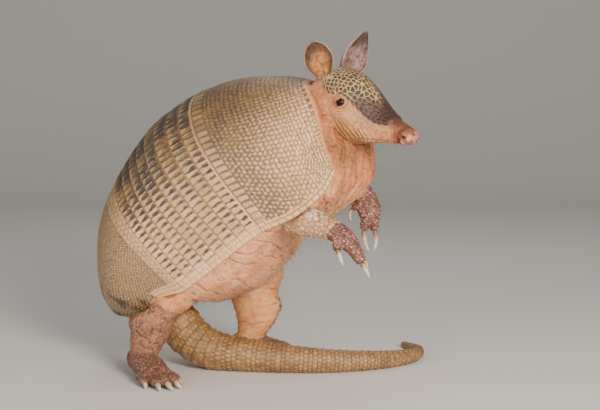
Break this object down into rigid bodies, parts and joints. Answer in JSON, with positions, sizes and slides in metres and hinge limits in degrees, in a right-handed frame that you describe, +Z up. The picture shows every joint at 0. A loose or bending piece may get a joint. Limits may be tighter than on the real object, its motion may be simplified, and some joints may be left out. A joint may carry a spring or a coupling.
{
  "type": "armadillo",
  "caption": "Nine-banded armadillo sitting up on its hind feet with raised head, folded fore feet and a ringed tail curled along the floor; a still, life-size animal.",
  "frame": {"origin": "bottom centre of the box around the whole animal, on the floor it rests on", "axes": "+Z up from the floor; the body faces +X, with the belly to +X and the back to -X; +Y is the animal's left"},
  "size_m": [0.3104, 0.268, 0.3074],
  "materials": {
    "shell": "horny scales over bone, satin",
    "skin": "bare wrinkled skin, matt to satin",
    "scaly_skin": "small hard scales, satin",
    "tail_scutes": "rings of hard scales, satin",
    "ear_skin": "thin leathery skin",
    "claw_horn": null,
    "eye": null
  },
  "bodies": {
    "root": {"band_1": "shell", "band_2": "shell", "band_3": "shell", "band_4": "shell", "band_5": "shell", "band_6": "shell", "band_7": "shell", "band_8": "shell", "ear_left": "ear_skin", "ear_right": "ear_skin", "eye_left": "eye", "eye_right": "eye", "fore_claw_left_1": "claw_horn", "fore_claw_left_2": "claw_horn", "fore_claw_left_3": "claw_horn", "fore_claw_left_4": "claw_horn", "fore_claw_right_1": "claw_horn", "fore_claw_right_2": "claw_horn", "fore_claw_right_3": "claw_horn", "fore_claw_right_4": "claw_horn", "fore_foot_left": "scaly_skin", "fore_foot_right": "scaly_skin", "forearm_left": "scaly_skin", "forearm_right": "scaly_skin", "head": "skin", "head_shield": "shell", "hind_claw_left_1": "claw_horn", "hind_claw_left_2": "claw_horn", "hind_claw_left_3": "claw_horn", "hind_claw_left_4": "claw_horn", "hind_claw_left_5": "claw_horn", "hind_claw_right_1": "claw_horn", "hind_claw_right_2": "claw_horn", "hind_claw_right_3": "claw_horn", "hind_claw_right_4": "claw_horn", "hind_claw_right_5": "claw_horn", "hind_foot_left": "scaly_skin", "hind_foot_right": "scaly_skin", "neck": "skin", "pelvic_shield": "shell", "scapular_shield": "shell", "shank_left": "skin", "shank_right": "skin", "tail_1": "tail_scutes", "tail_2": "tail_scutes", "tail_3": "tail_scutes", "tail_4": "tail_scutes", "thigh_left": "skin", "thigh_right": "skin", "trunk": "skin"}
  },
  "joints": []
}
